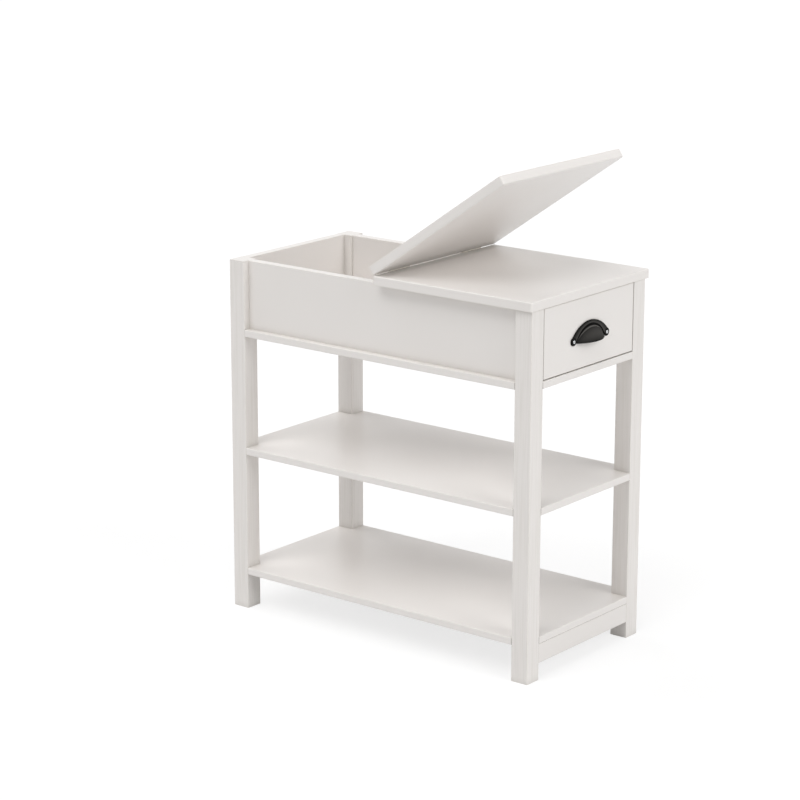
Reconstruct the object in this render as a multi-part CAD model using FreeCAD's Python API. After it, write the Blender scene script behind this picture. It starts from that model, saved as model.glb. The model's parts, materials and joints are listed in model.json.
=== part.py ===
import FreeCAD, Part
import math
import os

from FreeCAD import Vector

# Lift-top end table, in millimetres. The drawer end faces -Y, the long sides face -X and +X, +Z is up.
# The origin lies on the floor, under the middle of the whole table with its drawer pull.

# Frame
TABLE_HEIGHT = 610.0
FRAME_WIDTH = 306.0
FRAME_DEPTH = 609.0
LEG_SIDE = 31.0
LEG_EDGE_ROUND = 1.2

# Fixed half of the top, and the lid that lifts behind it
TOP_THICKNESS = 15.0
TOP_LENGTH = 305.0
TOP_SIDE_OVERHANG = 6.0
TOP_FRONT_OVERHANG = 3.5
TOP_CORNER_RADIUS = 3.0
TOP_FACE_ROUND = 2.5
TOP_UNDER_ROUND = 0.8
TOP_GAP = 1.0
LID_REAR_SETBACK = 1.5
LID_SEAT_CLEARANCE = 0.2
LID_OPEN_ANGLE = 145.6

# Box under the top: side panels, end panel, divider and bottom board
BOX_HEIGHT = 114.0
SIDE_PANEL_THICKNESS = 15.0
SIDE_PANEL_SETBACK = 12.0
BACK_PANEL_THICKNESS = 15.0
DIVIDER_THICKNESS = 15.0
DIVIDER_SETBACK = 2.0
DIVIDER_HOUSING_DEPTH = 5.0
BOX_BOTTOM_THICKNESS = 12.0
RIM_EDGE_ROUND = 1.0

# Shelves, notched round the legs, with a corner key let into each leg
SHELF_THICKNESS = 12.0
MIDDLE_SHELF_HEIGHT = 280.0
LOWER_SHELF_HEIGHT = 71.0
SHELF_EDGE_ROUND = 1.5
SHELF_KEY = 8.0
RAIL_HEIGHT = 32.0
RAIL_THICKNESS = 15.0
RAIL_SETBACK = 0.5

# Stub tenons that join panels and rail to the legs, and the fixed top to front legs and divider
TENON_THICKNESS = 7.0
TENON_DEPTH = 8.0
PANEL_TENON_INSET = 14.0
RAIL_TENON_INSET = 5.0
LEG_TENON_SIDE = 15.0
DIVIDER_TENON_LENGTH = 180.0

# Drawer, inset between the front legs
DRAWER_FRONT_THICKNESS = 15.0
DRAWER_FRONT_SETBACK = 0.4
DRAWER_FRONT_ROUND = 1.0
DRAWER_GAP_SIDE = 1.5
DRAWER_GAP_TOP = 1.4
DRAWER_GAP_BOTTOM = 1.7
DRAWER_SIDE_THICKNESS = 12.0
DRAWER_SIDE_CLEARANCE = 2.5
DRAWER_SIDE_LIFT = 10.0
DRAWER_SIDE_DROP = 24.0
DRAWER_REAR_CLEARANCE = 20.0
DRAWER_BACK_THICKNESS = 12.0
DRAWER_BACK_INSET = 6.0
DRAWER_HOUSING_DEPTH = 4.0
DRAWER_BOTTOM_THICKNESS = 4.0
DRAWER_BOTTOM_LIFT = 8.0

# Wooden runners, let into the side panels and running in grooves of the drawer sides
RUNNER_HEIGHT = 12.0
RUNNER_ENGAGEMENT = 4.5
RUNNER_SIDE_PLAY = 0.5
RUNNER_LIFT_PLAY = 0.3
RUNNER_END_GAP = 2.0
RUNNER_HOUSING_DEPTH = 3.0

# Cup pull: a flat arched flange with two ears and a cup that is open below, with a fine groove between them
PULL_SCREW_SPACING = 89.0
PULL_EAR_RADIUS = 6.5
PULL_ARCH_HEIGHT = 27.0
PULL_FLANGE_THICKNESS = 2.4
PULL_SCREW_DROP = 10.0
CUP_WIDTH = 76.0
CUP_HEIGHT = 25.0
CUP_PROJECTION = 18.0
CUP_WALL = 1.4
CUP_LIP_DROP = 4.3
CUP_GROOVE_WIDTH = 2.4
CUP_GROOVE_DEPTH = 1.6
PULL_SCREW_RADIUS = 1.7
PULL_SCREW_HEAD_RADIUS = 2.8
PULL_SCREW_CROWN_RADIUS = 2.2
PULL_SCREW_HEAD_RISE = 1.2
PULL_SCREW_BITE = 12.0
PULL_SCREW_CLEARANCE = 0.1

# Butt hinges, whose leaves are let into the facing edges of the fixed top and the lid
HINGE_LENGTH = 50.0
HINGE_INSET = 40.0
HINGE_RISE = 0.3
LEAF_THICKNESS = 1.2
LEAF_PLAY = 0.6
LEAF_HEIGHT = 12.5
KNUCKLE_COUNT = 3
KNUCKLE_RADIUS = 2.6
KNUCKLE_PLAY = 0.3
POCKET_PLAY = 0.4
PIN_RADIUS = 1.25
PIN_CLEARANCE = 0.05

# Planes worked out from the sizes above
HALF_WIDTH = FRAME_WIDTH / 2
FRONT_Y = -(FRAME_DEPTH - CUP_PROJECTION + DRAWER_FRONT_SETBACK) / 2
BACK_Y = FRONT_Y + FRAME_DEPTH
LEG_INNER_X = HALF_WIDTH - LEG_SIDE
FRONT_LEG_INNER_Y = FRONT_Y + LEG_SIDE
REAR_LEG_INNER_Y = BACK_Y - LEG_SIDE
RIM_Z = TABLE_HEIGHT - TOP_THICKNESS
BOX_FLOOR_Z = RIM_Z - BOX_HEIGHT
PANEL_OUTER_X = HALF_WIDTH - SIDE_PANEL_SETBACK
PANEL_INNER_X = PANEL_OUTER_X - SIDE_PANEL_THICKNESS

TOP_HALF_WIDTH = HALF_WIDTH + TOP_SIDE_OVERHANG
TOP_FRONT_Y = FRONT_Y - TOP_FRONT_OVERHANG
TOP_REAR_Y = TOP_FRONT_Y + TOP_LENGTH
HINGE_Y = TOP_REAR_Y + TOP_GAP / 2
HINGE_Z = TABLE_HEIGHT + HINGE_RISE
LID_FRONT_Y = TOP_REAR_Y + TOP_GAP
LID_REAR_Y = BACK_Y - LID_REAR_SETBACK
LID_BOTTOM_Z = RIM_Z + LID_SEAT_CLEARANCE
DIVIDER_REAR_Y = TOP_REAR_Y - DIVIDER_SETBACK
DIVIDER_FRONT_Y = DIVIDER_REAR_Y - DIVIDER_THICKNESS

RAIL_TOP_Z = LOWER_SHELF_HEIGHT - SHELF_THICKNESS
RAIL_FRONT_Y = FRONT_Y + RAIL_SETBACK

DRAWER_FACE_Y = FRONT_Y + DRAWER_FRONT_SETBACK
DRAWER_FRONT_BACK_Y = DRAWER_FACE_Y + DRAWER_FRONT_THICKNESS
DRAWER_FRONT_HALF = LEG_INNER_X - DRAWER_GAP_SIDE
DRAWER_FRONT_LOW_Z = BOX_FLOOR_Z + DRAWER_GAP_BOTTOM
DRAWER_FRONT_HIGH_Z = RIM_Z - DRAWER_GAP_TOP
DRAWER_REAR_Y = DIVIDER_FRONT_Y - DRAWER_REAR_CLEARANCE
SIDE_OUTER_X = LEG_INNER_X - DRAWER_SIDE_CLEARANCE
SIDE_INNER_X = SIDE_OUTER_X - DRAWER_SIDE_THICKNESS
SIDE_LOW_Z = BOX_FLOOR_Z + DRAWER_SIDE_LIFT
SIDE_HIGH_Z = RIM_Z - DRAWER_SIDE_DROP
DRAWER_BOTTOM_Z = SIDE_LOW_Z + DRAWER_BOTTOM_LIFT
DRAWER_FLOOR_Z = DRAWER_BOTTOM_Z + DRAWER_BOTTOM_THICKNESS
DRAWER_BACK_REAR_Y = DRAWER_REAR_Y - DRAWER_BACK_INSET

RUNNER_INNER_X = SIDE_OUTER_X - RUNNER_ENGAGEMENT
RUNNER_MID_Z = (SIDE_LOW_Z + SIDE_HIGH_Z) / 2
RUNNER_FRONT_Y = FRONT_LEG_INNER_Y + RUNNER_END_GAP
RUNNER_REAR_Y = DIVIDER_FRONT_Y - RUNNER_END_GAP

PULL_SCREW_Z = (DRAWER_FRONT_LOW_Z + DRAWER_FRONT_HIGH_Z) / 2 - PULL_SCREW_DROP
CUP_LIP_Z = PULL_SCREW_Z - CUP_LIP_DROP
CUP_HALF = CUP_WIDTH / 2
BALL_DEPTH = (CUP_HALF ** 2 - CUP_PROJECTION ** 2) / (2 * CUP_PROJECTION)
BALL_DROP = (CUP_HALF ** 2 - CUP_HEIGHT ** 2) / (2 * CUP_HEIGHT)
CUP_RADIUS = math.sqrt(CUP_HALF ** 2 + BALL_DEPTH ** 2 + BALL_DROP ** 2)

ALONG_X = Vector(1, 0, 0)
ALONG_Y = Vector(0, 1, 0)
ALONG_Z = Vector(0, 0, 1)
SIDES = (("left", -1), ("right", 1))
SAME = 1e-6

pieces = {}


# Shape helpers

def box(xs, ys, zs):
    low = Vector(min(xs), min(ys), min(zs))
    return Part.makeBox(abs(xs[1] - xs[0]), abs(ys[1] - ys[0]), abs(zs[1] - zs[0]), low)


def span(middle, size):
    return (middle - size / 2, middle + size / 2)


def is_upright(edge):
    return edge.BoundBox.XLength < SAME and edge.BoundBox.YLength < SAME


def is_level(edge):
    return edge.BoundBox.ZLength < SAME


def rounded(shape, radius, pick):
    return shape.makeFillet(radius, [edge for edge in shape.Edges if pick(edge)])


def cut_by(name, *tools):
    for tool in tools:
        pieces[name] = pieces[name].cut(tool)


def join(name, tenon, host):
    """Add a tenon to one piece and cut its mortise in the piece that holds it."""
    pieces[name] = pieces[name].fuse(tenon).removeSplitter()
    cut_by(host, tenon)


# Legs and the boards notched round them

def leg_spans(end, side):
    """The X and Y spans of one leg, and of the corner key that each board lets into it."""
    xs = (side * LEG_INNER_X, side * HALF_WIDTH)
    key_xs = (side * LEG_INNER_X, side * (LEG_INNER_X + SHELF_KEY))
    if end == "front":
        return xs, (FRONT_Y, FRONT_LEG_INNER_Y), key_xs, (FRONT_LEG_INNER_Y - SHELF_KEY, FRONT_LEG_INNER_Y)
    return xs, (REAR_LEG_INNER_Y, BACK_Y), key_xs, (REAR_LEG_INNER_Y, REAR_LEG_INNER_Y + SHELF_KEY)


def notched_board(low_z, thickness):
    zs = (low_z, low_z + thickness)
    board = box((-HALF_WIDTH, HALF_WIDTH), (FRONT_Y, BACK_Y), zs)
    board = rounded(board, SHELF_EDGE_ROUND, is_level)
    for end in ("front", "rear"):
        for _, side in SIDES:
            xs, ys, key_xs, key_ys = leg_spans(end, side)
            board = board.cut(box(xs, ys, zs).cut(box(key_xs, key_ys, zs)))
    return board


def make_frame():
    pieces["box_bottom"] = notched_board(BOX_FLOOR_Z - BOX_BOTTOM_THICKNESS, BOX_BOTTOM_THICKNESS)
    pieces["middle_shelf"] = notched_board(MIDDLE_SHELF_HEIGHT - SHELF_THICKNESS, SHELF_THICKNESS)
    pieces["lower_shelf"] = notched_board(LOWER_SHELF_HEIGHT - SHELF_THICKNESS, SHELF_THICKNESS)
    for end in ("front", "rear"):
        for hand, side in SIDES:
            xs, ys, _, _ = leg_spans(end, side)
            name = f"{end}_{hand}_leg"
            pieces[name] = rounded(box(xs, ys, (0, RIM_Z)), LEG_EDGE_ROUND, is_upright)
            cut_by(name, pieces["box_bottom"], pieces["middle_shelf"], pieces["lower_shelf"])

    rail = box((-LEG_INNER_X, LEG_INNER_X), (RAIL_FRONT_Y, RAIL_FRONT_Y + RAIL_THICKNESS),
               (RAIL_TOP_Z - RAIL_HEIGHT, RAIL_TOP_Z))
    on_face = lambda edge: edge.BoundBox.YMax < RAIL_FRONT_Y + SAME and is_level(edge)
    pieces["lower_front_rail"] = rounded(rail, LEG_EDGE_ROUND, on_face)


# Box panels

def make_box():
    zs = (BOX_FLOOR_Z, RIM_Z)
    on_rim = lambda edge: edge.BoundBox.ZMin > RIM_Z - SAME
    divider_half = PANEL_INNER_X + DIVIDER_HOUSING_DEPTH
    divider = box((-divider_half, divider_half), (DIVIDER_FRONT_Y, DIVIDER_REAR_Y), zs)
    pieces["divider_panel"] = divider
    for hand, side in SIDES:
        xs = (side * PANEL_INNER_X, side * PANEL_OUTER_X)
        panel = box(xs, (FRONT_LEG_INNER_Y, REAR_LEG_INNER_Y), zs)
        along_rim = lambda edge: on_rim(edge) and edge.BoundBox.XLength < SAME
        pieces[f"{hand}_side_panel"] = rounded(panel, RIM_EDGE_ROUND, along_rim)
        cut_by(f"{hand}_side_panel", divider)
    back = box((-LEG_INNER_X, LEG_INNER_X), (BACK_Y - BACK_PANEL_THICKNESS, BACK_Y), zs)
    along_back_rim = lambda edge: on_rim(edge) and edge.BoundBox.YLength < SAME
    pieces["back_panel"] = rounded(back, RIM_EDGE_ROUND, along_back_rim)


# Top boards

def top_board(ys, low_z, outer_y):
    """One half of the top: rounded corners at its outer end, soft outer edges, and a square edge at the hinge."""
    high_z = low_z + TOP_THICKNESS
    hinge_edge_y = ys[0] + ys[1] - outer_y
    board = box((-TOP_HALF_WIDTH, TOP_HALF_WIDTH), ys, (low_z, high_z))
    at_outer_end = lambda edge: is_upright(edge) and abs(edge.CenterOfMass.y - outer_y) < SAME
    is_outer = lambda edge: is_level(edge) and abs(edge.CenterOfMass.y - hinge_edge_y) > SAME
    on_face = lambda edge: is_outer(edge) and edge.BoundBox.ZMin > high_z - SAME
    underneath = lambda edge: is_outer(edge) and edge.BoundBox.ZMax < low_z + SAME
    board = rounded(board, TOP_CORNER_RADIUS, at_outer_end)
    board = rounded(board, TOP_FACE_ROUND, on_face)
    return rounded(board, TOP_UNDER_ROUND, underneath)


def make_tops():
    pieces["fixed_top"] = top_board((TOP_FRONT_Y, TOP_REAR_Y), RIM_Z, TOP_FRONT_Y)
    pieces["flip_lid"] = top_board((LID_FRONT_Y, LID_REAR_Y), LID_BOTTOM_Z, LID_REAR_Y)


# Tenons

def make_tenons():
    panel_zs = (BOX_FLOOR_Z + PANEL_TENON_INSET, RIM_Z - PANEL_TENON_INSET)
    rail_ys = span(RAIL_FRONT_Y + RAIL_THICKNESS / 2, TENON_THICKNESS)
    rail_zs = (RAIL_TOP_Z - RAIL_HEIGHT + RAIL_TENON_INSET, RAIL_TOP_Z - RAIL_TENON_INSET)
    back_ys = span(BACK_Y - BACK_PANEL_THICKNESS / 2, TENON_THICKNESS)
    top_zs = (RIM_Z, RIM_Z + TENON_DEPTH)
    for hand, side in SIDES:
        front_leg = f"front_{hand}_leg"
        rear_leg = f"rear_{hand}_leg"
        panel = f"{hand}_side_panel"
        panel_xs = span(side * (PANEL_OUTER_X + PANEL_INNER_X) / 2, TENON_THICKNESS)
        into_leg_xs = (side * LEG_INNER_X, side * (LEG_INNER_X + TENON_DEPTH))
        join(panel, box(panel_xs, (FRONT_LEG_INNER_Y - TENON_DEPTH, FRONT_LEG_INNER_Y), panel_zs), front_leg)
        join(panel, box(panel_xs, (REAR_LEG_INNER_Y, REAR_LEG_INNER_Y + TENON_DEPTH), panel_zs), rear_leg)
        join("back_panel", box(into_leg_xs, back_ys, panel_zs), rear_leg)
        join("lower_front_rail", box(into_leg_xs, rail_ys, rail_zs), front_leg)
        leg_xs = span(side * (HALF_WIDTH - LEG_SIDE / 2), LEG_TENON_SIDE)
        join(front_leg, box(leg_xs, span(FRONT_Y + LEG_SIDE / 2, LEG_TENON_SIDE), top_zs), "fixed_top")
    divider_ys = span((DIVIDER_FRONT_Y + DIVIDER_REAR_Y) / 2, TENON_THICKNESS)
    join("divider_panel", box(span(0, DIVIDER_TENON_LENGTH), divider_ys, top_zs), "fixed_top")


# Drawer and its runners

def make_drawer():
    floor_half = SIDE_INNER_X + DRAWER_HOUSING_DEPTH
    front_groove_y = DRAWER_FRONT_BACK_Y - DRAWER_HOUSING_DEPTH
    back_ys = (DRAWER_BACK_REAR_Y - DRAWER_BACK_THICKNESS, DRAWER_BACK_REAR_Y)
    bottom_ys = (front_groove_y, DRAWER_BACK_REAR_Y)
    bottom = box((-floor_half, floor_half), bottom_ys, (DRAWER_BOTTOM_Z, DRAWER_FLOOR_Z))
    back = box((-floor_half, floor_half), back_ys, (DRAWER_FLOOR_Z, SIDE_HIGH_Z))
    front = box((-DRAWER_FRONT_HALF, DRAWER_FRONT_HALF), (DRAWER_FACE_Y, DRAWER_FRONT_BACK_Y),
                (DRAWER_FRONT_LOW_Z, DRAWER_FRONT_HIGH_Z))
    on_face = lambda edge: edge.BoundBox.YMax < DRAWER_FACE_Y + SAME
    pieces["drawer_bottom"] = bottom
    pieces["drawer_back"] = back
    pieces["drawer_front"] = rounded(front, DRAWER_FRONT_ROUND, on_face)
    cut_by("drawer_front", bottom)

    groove_zs = span(RUNNER_MID_Z, RUNNER_HEIGHT + 2 * RUNNER_LIFT_PLAY)
    groove_ys = (RUNNER_FRONT_Y - RUNNER_END_GAP, DRAWER_REAR_Y)
    for hand, side in SIDES:
        name = f"drawer_{hand}_side"
        xs = (side * SIDE_INNER_X, side * SIDE_OUTER_X)
        pieces[name] = box(xs, (front_groove_y, DRAWER_REAR_Y), (SIDE_LOW_Z, SIDE_HIGH_Z))
        cut_by("drawer_front", pieces[name])
        groove_xs = (side * (RUNNER_INNER_X - RUNNER_SIDE_PLAY), side * SIDE_OUTER_X)
        cut_by(name, bottom, back, box(groove_xs, groove_ys, groove_zs))


def make_runners():
    zs = span(RUNNER_MID_Z, RUNNER_HEIGHT)
    for hand, side in SIDES:
        xs = (side * RUNNER_INNER_X, side * (PANEL_INNER_X + RUNNER_HOUSING_DEPTH))
        pieces[f"{hand}_runner"] = box(xs, (RUNNER_FRONT_Y, RUNNER_REAR_Y), zs)
        cut_by(f"{hand}_side_panel", pieces[f"{hand}_runner"])


# Cup pull

def ball(radius):
    """A ball behind the drawer's face, whose cap in front of the face and above the lip is the cup."""
    return Part.makeSphere(radius, Vector(0, DRAWER_FACE_Y + BALL_DEPTH, CUP_LIP_Z - BALL_DROP))


def pan_screw(seat, outward):
    """A screw with a tapered pan head, whose flat side lies at seat."""
    head = Part.makeCone(PULL_SCREW_HEAD_RADIUS, PULL_SCREW_CROWN_RADIUS, PULL_SCREW_HEAD_RISE, seat, outward)
    shank = Part.makeCylinder(PULL_SCREW_RADIUS, PULL_FLANGE_THICKNESS + PULL_SCREW_BITE, seat, outward * -1)
    return head.fuse(shank).removeSplitter()


def make_pull():
    outward = ALONG_Y * -1
    arch_half = PULL_SCREW_SPACING / 2 + PULL_EAR_RADIUS
    arch_radius = (arch_half ** 2 + PULL_ARCH_HEIGHT ** 2) / (2 * PULL_ARCH_HEIGHT)
    arch_middle = Vector(0, DRAWER_FACE_Y, PULL_SCREW_Z + PULL_ARCH_HEIGHT - arch_radius)
    flange_face_y = DRAWER_FACE_Y - PULL_FLANGE_THICKNESS
    above_screws = box((-arch_half, arch_half), (flange_face_y, DRAWER_FACE_Y),
                       (PULL_SCREW_Z, PULL_SCREW_Z + PULL_ARCH_HEIGHT))
    flange = Part.makeCylinder(arch_radius, PULL_FLANGE_THICKNESS, arch_middle, outward).common(above_screws)
    ears = [Vector(side * PULL_SCREW_SPACING / 2, DRAWER_FACE_Y, PULL_SCREW_Z) for _, side in SIDES]
    for ear in ears:
        flange = flange.fuse(Part.makeCylinder(PULL_EAR_RADIUS, PULL_FLANGE_THICKNESS, ear, outward))
    groove_skin = box((-arch_half, arch_half), (flange_face_y, flange_face_y + CUP_GROOVE_DEPTH),
                      (PULL_SCREW_Z, PULL_SCREW_Z + PULL_ARCH_HEIGHT))
    flange = flange.cut(ball(CUP_RADIUS + CUP_GROOVE_WIDTH).common(groove_skin))
    in_front = box((-arch_half, arch_half), (DRAWER_FACE_Y - CUP_PROJECTION, DRAWER_FACE_Y),
                   (CUP_LIP_Z, CUP_LIP_Z + CUP_HEIGHT))
    cup = ball(CUP_RADIUS).common(in_front)
    pieces["cup_pull"] = flange.fuse(cup).cut(ball(CUP_RADIUS - CUP_WALL)).removeSplitter()

    screws = []
    hole_radius = PULL_SCREW_RADIUS + PULL_SCREW_CLEARANCE
    hole_length = PULL_FLANGE_THICKNESS + PULL_SCREW_BITE + PULL_SCREW_CLEARANCE
    for ear in ears:
        seat = ear + outward * PULL_FLANGE_THICKNESS
        screws.append(pan_screw(seat, outward))
        hole = Part.makeCylinder(hole_radius, hole_length, seat, ALONG_Y)
        cut_by("cup_pull", hole)
        cut_by("drawer_front", hole)
    pieces["pull_screws"] = Part.makeCompound(screws)


# Lid hinges

def hinge_barrel(start_x, length, radius):
    return Part.makeCylinder(radius, length, Vector(start_x, HINGE_Y, HINGE_Z), ALONG_X)


def hinge_leaf(start_x, facing, own_first):
    """One leaf: facing -1 lies in the fixed top's edge, +1 in the lid's edge; knuckles alternate."""
    inner_y = HINGE_Y + facing * LEAF_PLAY / 2
    leaf = box((start_x, start_x + HINGE_LENGTH), (inner_y, inner_y + facing * LEAF_THICKNESS),
               (HINGE_Z - LEAF_HEIGHT, HINGE_Z - (KNUCKLE_RADIUS + PIN_RADIUS) / 2))
    pitch = HINGE_LENGTH / KNUCKLE_COUNT
    starts = [start_x + index * pitch for index in range(KNUCKLE_COUNT)]
    for start in starts[1 - own_first::2]:
        leaf = leaf.cut(hinge_barrel(start, pitch, KNUCKLE_RADIUS + KNUCKLE_PLAY))
    for start in starts[own_first::2]:
        leaf = leaf.fuse(hinge_barrel(start + KNUCKLE_PLAY / 2, pitch - KNUCKLE_PLAY, KNUCKLE_RADIUS))
    return leaf.cut(hinge_barrel(start_x, HINGE_LENGTH, PIN_RADIUS + PIN_CLEARANCE)).removeSplitter()


def make_hinges():
    for hand, side in SIDES:
        start_x = side * (TOP_HALF_WIDTH - HINGE_INSET - HINGE_LENGTH / 2) - HINGE_LENGTH / 2
        pieces[f"{hand}_hinge_pin"] = hinge_barrel(start_x, HINGE_LENGTH, PIN_RADIUS)
        pieces[f"{hand}_hinge_top_leaf"] = hinge_leaf(start_x, -1, 0)
        pieces[f"{hand}_hinge_lid_leaf"] = hinge_leaf(start_x, 1, 1)
        pocket_radius = KNUCKLE_RADIUS + POCKET_PLAY
        pocket = hinge_barrel(start_x - POCKET_PLAY, HINGE_LENGTH + 2 * POCKET_PLAY, pocket_radius)
        cut_by("fixed_top", pocket, pieces[f"{hand}_hinge_top_leaf"])
        cut_by("flip_lid", pocket, pieces[f"{hand}_hinge_lid_leaf"])


def open_lid():
    """Swing the lid and what it carries from closed to the angle at which the table is shown."""
    carried = ("flip_lid", "left_hinge_lid_leaf", "right_hinge_lid_leaf")
    for name in carried:
        pieces[name] = pieces[name].rotated(Vector(0, HINGE_Y, HINGE_Z), ALONG_X, LID_OPEN_ANGLE)


make_frame()
make_box()
make_tops()
make_tenons()
make_drawer()
make_runners()
make_pull()
make_hinges()
open_lid()

os.makedirs("parts", exist_ok=True)
for node, shape in pieces.items():
    shape.exportStep(f"parts/{node}.step")
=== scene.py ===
# %% [markdown]
# # A white lift-top end table
# The real table is a narrow lacquered box on four square legs, with two open shelves, a drawer with a black
# cup pull, and a lid that folds forwards over the fixed half of the top. A construction model already gives
# every board, hinge and joint its true size, so no board is measured by eye here. This lesson dresses that
# model: camera, light, finishes, and the small metal pieces that are easier to shape in Blender.

# %% Load the construction model
import json
import math

import bmesh
import bpy
from mathutils import Matrix, Vector


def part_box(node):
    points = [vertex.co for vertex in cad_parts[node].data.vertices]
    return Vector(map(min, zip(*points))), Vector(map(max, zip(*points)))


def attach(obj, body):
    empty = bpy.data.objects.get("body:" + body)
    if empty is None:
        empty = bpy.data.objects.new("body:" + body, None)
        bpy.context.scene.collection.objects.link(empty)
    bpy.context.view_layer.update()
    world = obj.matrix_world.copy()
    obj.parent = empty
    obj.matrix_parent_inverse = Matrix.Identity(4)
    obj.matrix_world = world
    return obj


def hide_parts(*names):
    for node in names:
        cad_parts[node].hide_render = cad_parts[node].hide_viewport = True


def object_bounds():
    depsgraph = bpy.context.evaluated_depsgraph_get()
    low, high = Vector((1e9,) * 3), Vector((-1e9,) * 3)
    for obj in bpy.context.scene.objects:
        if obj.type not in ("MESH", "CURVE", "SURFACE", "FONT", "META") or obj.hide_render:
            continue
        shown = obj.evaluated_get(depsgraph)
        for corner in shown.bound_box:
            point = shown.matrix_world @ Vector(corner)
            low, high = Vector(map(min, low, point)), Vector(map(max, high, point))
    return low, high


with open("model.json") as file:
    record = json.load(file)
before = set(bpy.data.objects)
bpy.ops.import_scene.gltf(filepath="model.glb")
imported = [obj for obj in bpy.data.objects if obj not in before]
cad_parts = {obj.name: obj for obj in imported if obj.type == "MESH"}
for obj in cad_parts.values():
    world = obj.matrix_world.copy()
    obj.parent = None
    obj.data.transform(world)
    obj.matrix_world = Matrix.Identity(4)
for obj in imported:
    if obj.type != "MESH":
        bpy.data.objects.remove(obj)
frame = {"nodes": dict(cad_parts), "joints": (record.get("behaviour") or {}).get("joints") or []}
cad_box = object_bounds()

MM = 0.001
scene = bpy.context.scene
nodes = frame["nodes"]
corners = [[round(v / MM, 1) for v in corner] for corner in cad_box]
print("loaded", len(nodes), "solids, box in mm:", corners)

# %% [markdown]
# ## The camera
# The table was photographed from its left, with the drawer end to the right, from a little above the raised
# lid. A wide lens close by would make the near leg look longer than the far ones; the picture has hardly
# any of that, so the camera stands more than four metres off with a long lens. It could be aimed with a
# Track To constraint, but a matrix built from three turns says plainly how far it is swung, tipped and
# rolled.

# %% Place the camera
AIM = Vector((-0.1003, -0.0012, 0.3986))
DISTANCE = 4.25
SWING, LOOK_DOWN, ROLL = -51.49, 14.88, 0.08
LENS, SENSOR = 119.82, 36.0

camera = bpy.data.objects.new("studio_camera", bpy.data.cameras.new("studio_camera"))
camera.data.lens = LENS
camera.data.sensor_width = SENSOR
swung = Matrix.Rotation(math.radians(SWING), 4, "Z")
tipped = Matrix.Rotation(math.radians(90 - LOOK_DOWN), 4, "X")
rolled = Matrix.Rotation(math.radians(ROLL), 4, "Z")
stand_off = Matrix.Translation((0, 0, DISTANCE))
camera.matrix_world = Matrix.Translation(AIM) @ swung @ tipped @ rolled @ stand_off
scene.collection.objects.link(camera)
scene.camera = camera
print("camera at", [round(v, 3) for v in camera.matrix_world.translation])

# %% [markdown]
# ## Colours and nodes
# Colours are easiest to compare with a picture as sRGB hex, but shader sockets take linear light, so one
# function converts them. Building a node tree by hand repeats three moves (add a node, set it, wire it), so
# one small function does all three: an input that gets a socket is wired, any other value is typed in.

# %% Helpers for colours and nodes
def linear(hex_colour):
    """An sRGB hex colour as the linear RGBA that a shader socket takes."""
    channels = [int(hex_colour[i:i + 2], 16) / 255 for i in (1, 3, 5)]
    return [c / 12.92 if c <= 0.04045 else ((c + 0.055) / 1.055) ** 2.4 for c in channels] + [1.0]


def add_node(tree, kind, inputs=None, **settings):
    """Add a node, set its properties, and type or wire its inputs, which are named or numbered."""
    node = tree.nodes.new(kind)
    for name, value in settings.items():
        setattr(node, name, value)
    for key, value in (inputs or {}).items():
        if isinstance(value, bpy.types.NodeSocket):
            tree.links.new(value, node.inputs[key])
        else:
            node.inputs[key].default_value = value
    return node


# A Mix node has sockets of the same name for numbers, vectors and colours. These are the numbers of its
# factor, its two colours and its mixed colour.
MIX_BY, MIX_FROM, MIX_TO, MIXED = 0, 6, 7, 2
print("mid grey #808080 is", round(linear("#808080")[0], 3), "in linear light")

# %% [markdown]
# ## Light
# A catalogue studio wraps a white piece in soft light and adds a few large lamps, so that the top and the
# drawer end are bright, the long side is a little darker, and light rakes in over the shelves from the open
# long side. Softboxes could be area lamps, but their light falls off over the floor and would show its
# edge. A dim even sky and three very wide suns light the whole floor alike. Rays that look straight at the
# sky, or see it in a gloss, get plain white.

# %% Sky
scene.view_settings.view_transform = "Standard"
SKY_LEVEL = 0.32

scene.world = bpy.data.worlds.new("studio_sky")
scene.world.use_nodes = True
sky = scene.world.node_tree
sky.nodes.clear()


def seen_directly(tree):
    """1 for rays from the camera, or out of a gloss or glass, and 0 for rays that gather soft light."""
    path = add_node(tree, "ShaderNodeLightPath")
    shiny = add_node(tree, "ShaderNodeMath",
                     {0: path.outputs["Is Glossy Ray"], 1: path.outputs["Is Transmission Ray"]},
                     operation="MAXIMUM")
    either = add_node(tree, "ShaderNodeMath", {0: path.outputs["Is Camera Ray"], 1: shiny.outputs[0]},
                      operation="MAXIMUM")
    return either.outputs[0]


level = add_node(sky, "ShaderNodeMapRange",
                 {"Value": seen_directly(sky), "To Min": SKY_LEVEL, "To Max": 1.0})
glow = add_node(sky, "ShaderNodeBackground", {"Color": linear("#FFFFFF"), "Strength": level.outputs[0]})
add_node(sky, "ShaderNodeOutputWorld", {"Surface": glow.outputs[0]})
print("sky level for soft rays", SKY_LEVEL)

# %% [markdown]
# ### Three lamps
# One large lamp faces the drawer end, one stands high over the long left side, and a weaker one over the
# far end. A sun lamp's angle is how wide it looks from the table, and that sets how soft the edges of its
# shadows are, so a wide sun does the work of a softbox.

# %% Three wide lamps
# Each lamp: its level, how far it is turned from the drawer end towards the left side, and its height.
LAMPS = {
    "drawer_end_lamp": (1.22, 0, 30),
    "left_side_lamp": (1.16, 90, 55),
    "rear_end_lamp": (0.80, 180, 55),
}
LAMP_WIDTH = math.radians(36)

for name, (strength, bearing, height) in LAMPS.items():
    lamp = bpy.data.objects.new(name, bpy.data.lights.new(name, "SUN"))
    lamp.data.energy = strength
    lamp.data.angle = LAMP_WIDTH
    lamp.matrix_world = (Matrix.Rotation(math.radians(-bearing), 4, "Z")
                         @ Matrix.Rotation(math.radians(90 - height), 4, "X"))
    scene.collection.objects.link(lamp)
    print(name, "shines along", [round(v, 2) for v in lamp.matrix_world.col[2].xyz * -1])

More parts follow.
